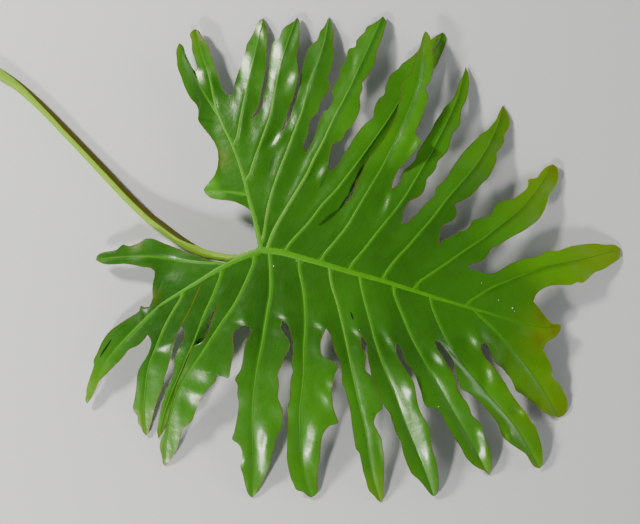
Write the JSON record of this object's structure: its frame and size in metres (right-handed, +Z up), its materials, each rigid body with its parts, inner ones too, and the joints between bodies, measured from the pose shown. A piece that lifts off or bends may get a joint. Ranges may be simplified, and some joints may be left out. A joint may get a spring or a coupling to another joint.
{
  "type": "philodendron selloum leaf",
  "caption": "Single cut leaf of a split-leaf philodendron, lying face up: a broad glossy blade deeply divided into wavy lobes along a midrib, on a long bent stalk with a slanting cut end.",
  "frame": {"origin": "on the surface that the leaf lies on, under the middle of its box", "axes": "+X from the cut end of the stalk towards the tip of the leaf, +Y across the leaf towards the side that the stalk lies on, +Z up out of its upper face"},
  "size_m": [0.687, 0.487, 0.0497],
  "materials": {
    "leaf_green": "glossy waxy leaf, deep green with yellow-green ribs and yellowing tips",
    "petiole_green": "satin pale yellow-green stalk with a brown streaked side"
  },
  "bodies": {
    "root": {"leaf_blade": "leaf_green", "petiole": "petiole_green"}
  },
  "joints": []
}
